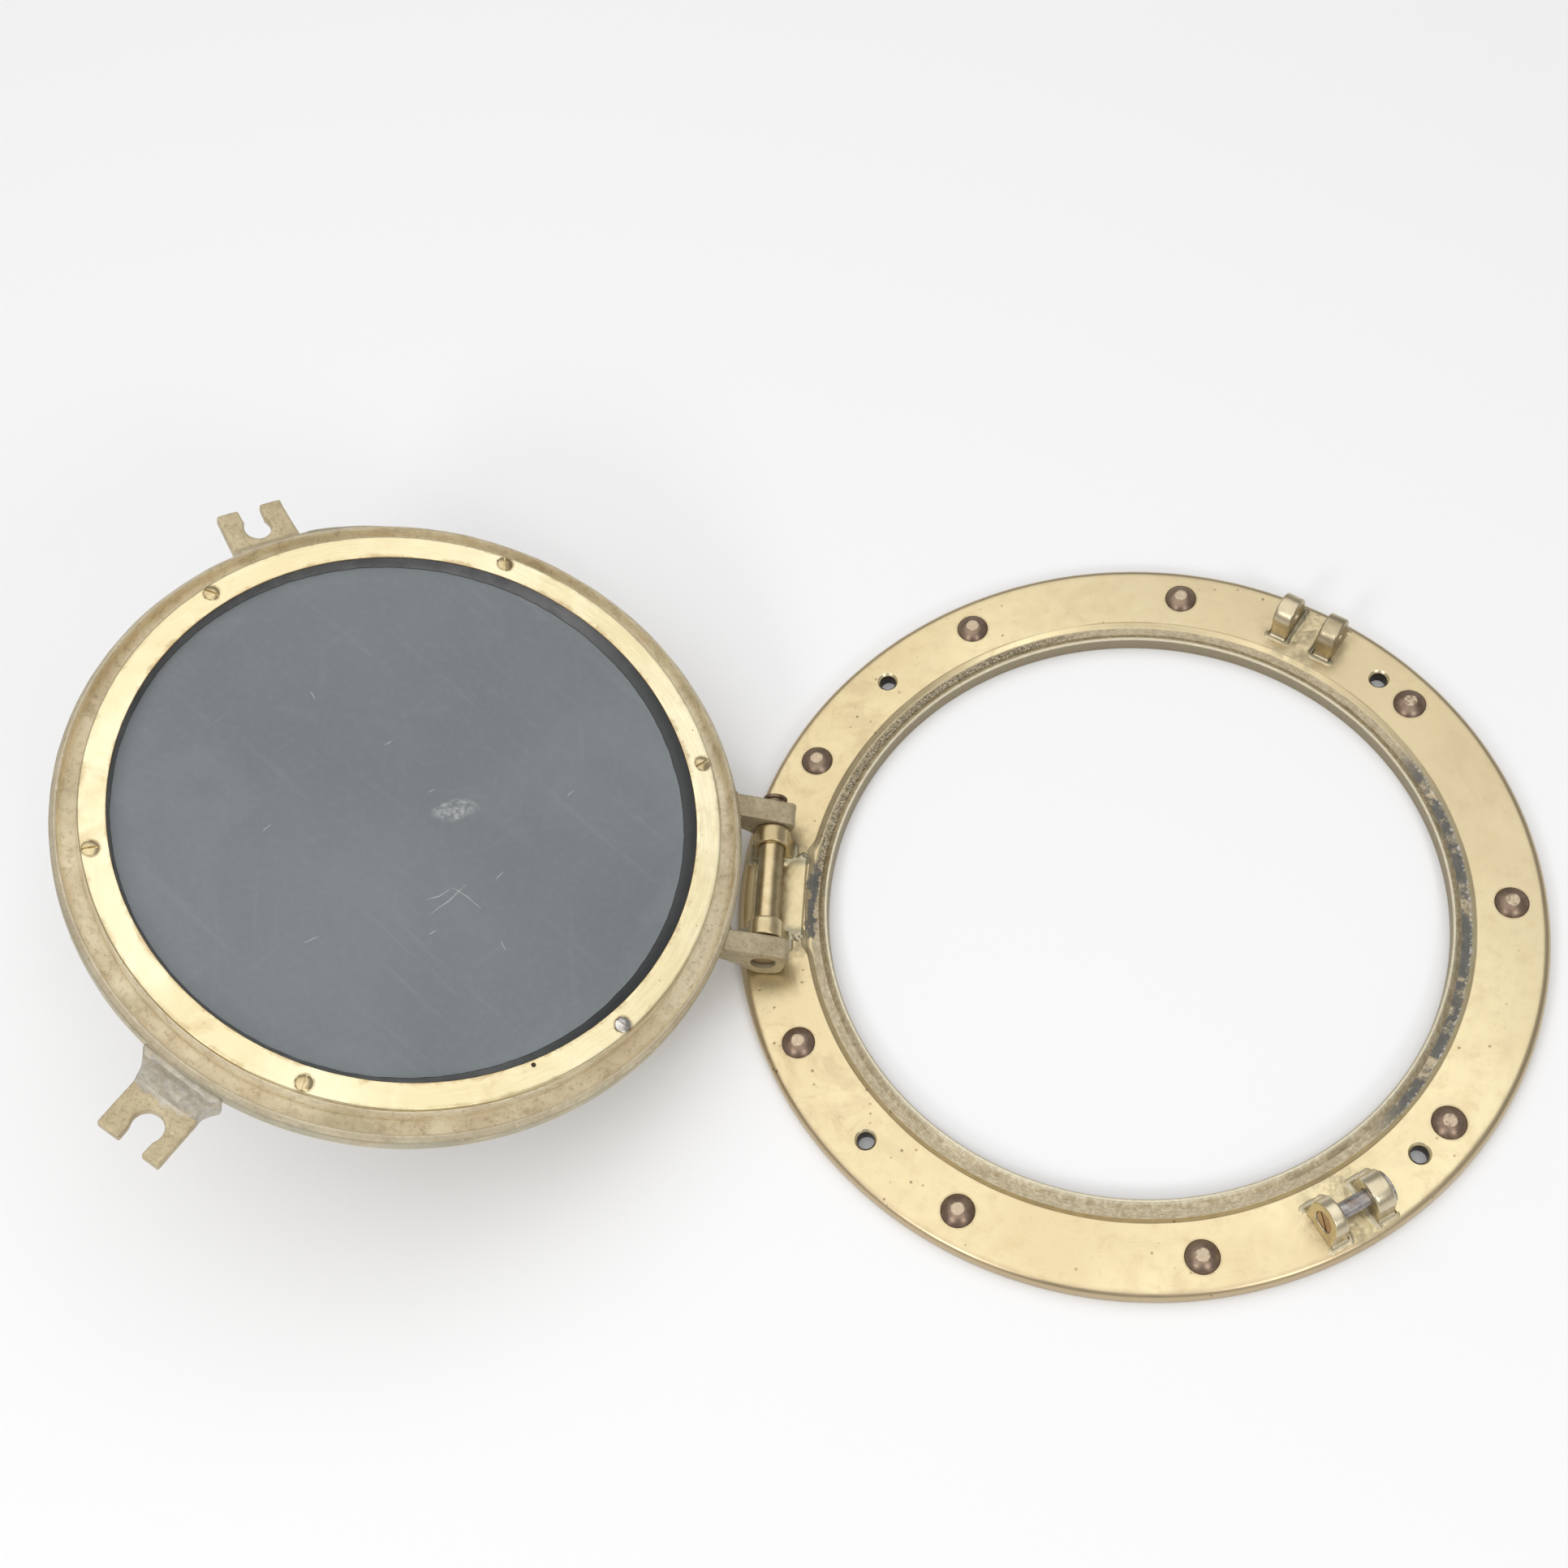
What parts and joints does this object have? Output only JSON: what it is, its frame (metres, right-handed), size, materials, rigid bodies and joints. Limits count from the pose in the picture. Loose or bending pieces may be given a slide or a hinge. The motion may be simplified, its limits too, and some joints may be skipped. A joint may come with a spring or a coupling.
{
  "type": "opening porthole",
  "caption": "Round brass opening porthole mirror: a flat mounting ring with a hinged window frame that swings over and stands open, with forked lugs for swing bolts.",
  "frame": {"origin": "centre of the mounting ring's bore, on the ring's back face", "axes": "+Z out of the ring's front face, away from the wall; the hinge is at -X and its pin runs along Y"},
  "size_m": [0.6714, 0.381, 0.1563],
  "materials": {
    "satin_brass": "satin, lightly tarnished",
    "polished_brass": "polished, worn",
    "pin_brass": "turned and polished, browned at the ends",
    "bronze_rivet": "brown patina with a rubbed coppery top",
    "steel_pin": "dull grey",
    "cast_brass": "rough as-cast, dull",
    "bright_brass": "bright, patchy polish",
    "screw_brass": "worn slotted heads",
    "black_bead": "matt black glazing bead",
    "gasket": "matt black",
    "mirror": "silvered glass",
    "backing_paint": "grey mirror-backing paint, scratched and smudged"
  },
  "bodies": {
    "base": {"base_ring": "satin_brass", "dome_rivets": "bronze_rivet", "hinge_bracket": "satin_brass", "hinge_pin": "pin_brass", "dog_lug_far_a": "polished_brass", "dog_lug_far_b": "polished_brass", "dog_lug_near_a": "polished_brass", "dog_lug_near_b": "polished_brass", "dog_pin": "steel_pin"},
    "window": {"window_frame": "cast_brass", "hinge_ear_far": "cast_brass", "hinge_ear_near": "cast_brass", "dog_fork_far": "cast_brass", "dog_fork_near": "cast_brass", "retaining_ring": "bright_brass", "retaining_screws": "screw_brass", "glazing_bead": "black_bead", "bedding_gasket": "gasket", "mirror_glass": "mirror", "mirror_backing": "backing_paint"}
  },
  "joints": [
    {"name": "window_hinge", "type": "hinge", "parent": "base", "child": "window", "pos_m": [-0.1738, 0, 0.0209], "axis": [0, 1, 0], "range_deg": [0, 158.5]}
  ]
}
